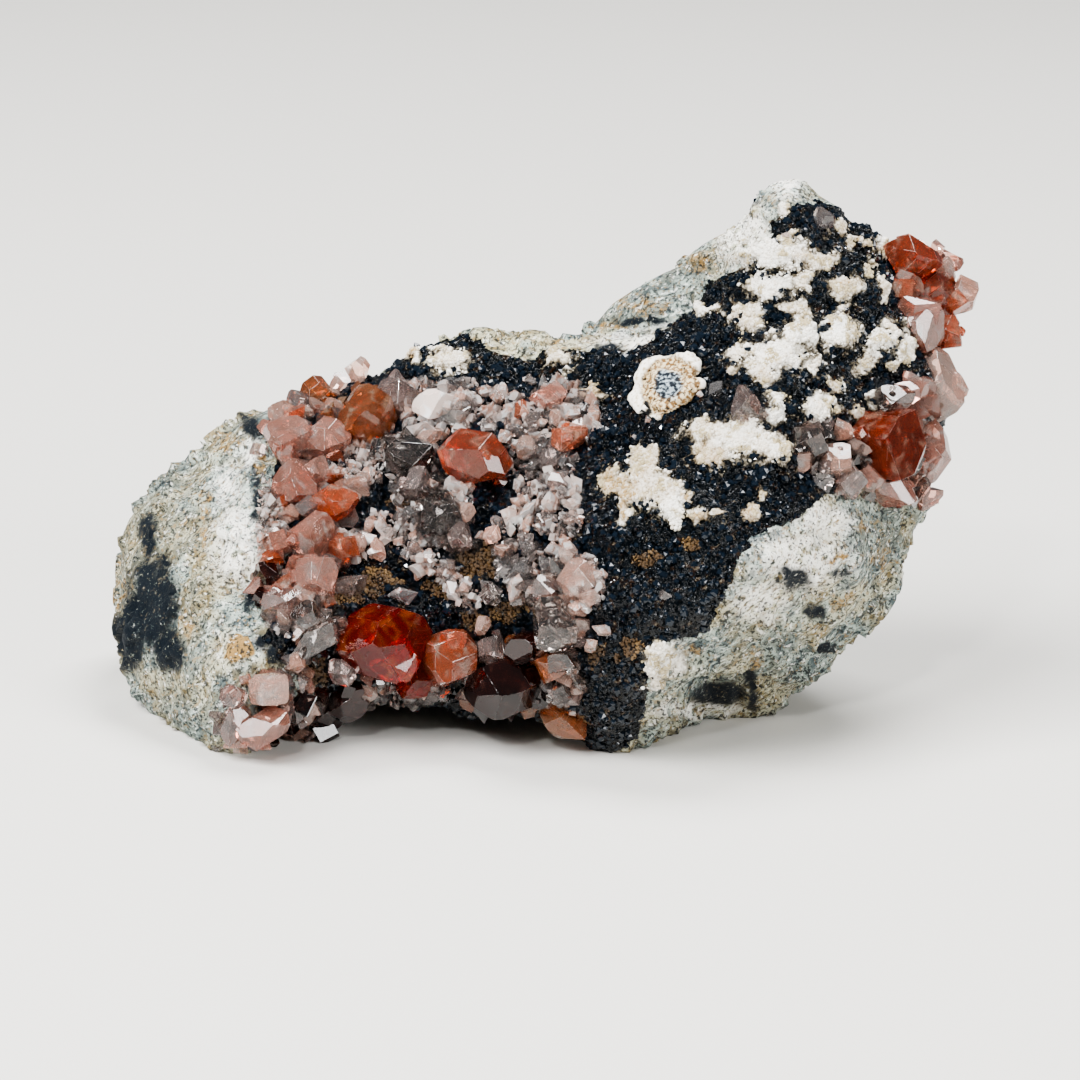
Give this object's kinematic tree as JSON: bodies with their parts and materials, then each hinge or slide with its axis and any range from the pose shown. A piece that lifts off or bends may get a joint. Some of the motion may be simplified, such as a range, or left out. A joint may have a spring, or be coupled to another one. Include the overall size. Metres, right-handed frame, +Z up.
{
  "type": "mineral specimen",
  "caption": "Elongated natural rock specimen, part dark crust and part pale broken rock, with glassy red, pink and clear rhodochrosite crystals grown on one side.",
  "frame": {"origin": "on the surface that the specimen lies on, under the middle of its outline", "axes": "+X along the specimen's length towards the high end, +Y away from the side with the crystals, +Z up"},
  "size_m": [0.0708, 0.04, 0.0439],
  "materials": {
    "host_rock": "rough broken rock, pale grey to cream, with a black sparkling oxide crust and white coatings over much of the front",
    "ring_mineral": "chalky white rim round a granular tan and grey middle",
    "pale_druse": "frosty pale pink to white small crystals, part see-through",
    "red_crystal": "glassy faces, clear deep orange-red inside",
    "dark_red_crystal": "glassy faces, clear dark red-brown inside",
    "orange_crystal": "glassy faces, clear brick red to orange-brown inside, edges frosted",
    "pink_crystal": "glassy faces, cloudy pink inside",
    "clear_crystal": "glassy faces, nearly colourless"
  },
  "bodies": {
    "root": {"clear_crystals": "clear_crystal", "clear_left_crystals": "clear_crystal", "dark_red_crystals": "dark_red_crystal", "flat_pale_crystal": "pink_crystal", "left_pink_crystals": "pink_crystal", "low_orange_crystal": "orange_crystal", "lower_left_crystals": "pink_crystal", "matrix_rock": "host_rock", "middle_clear_crystals": "clear_crystal", "middle_right_crystals": "orange_crystal", "ring_growth": "ring_mineral", "single_red_crystal": "orange_crystal", "small_crystal_crust": "pale_druse", "top_left_crystals": "orange_crystal", "triangular_crystal": "dark_red_crystal", "twin_red_crystals": "red_crystal", "upper_right_crystals": "orange_crystal"}
  },
  "joints": []
}
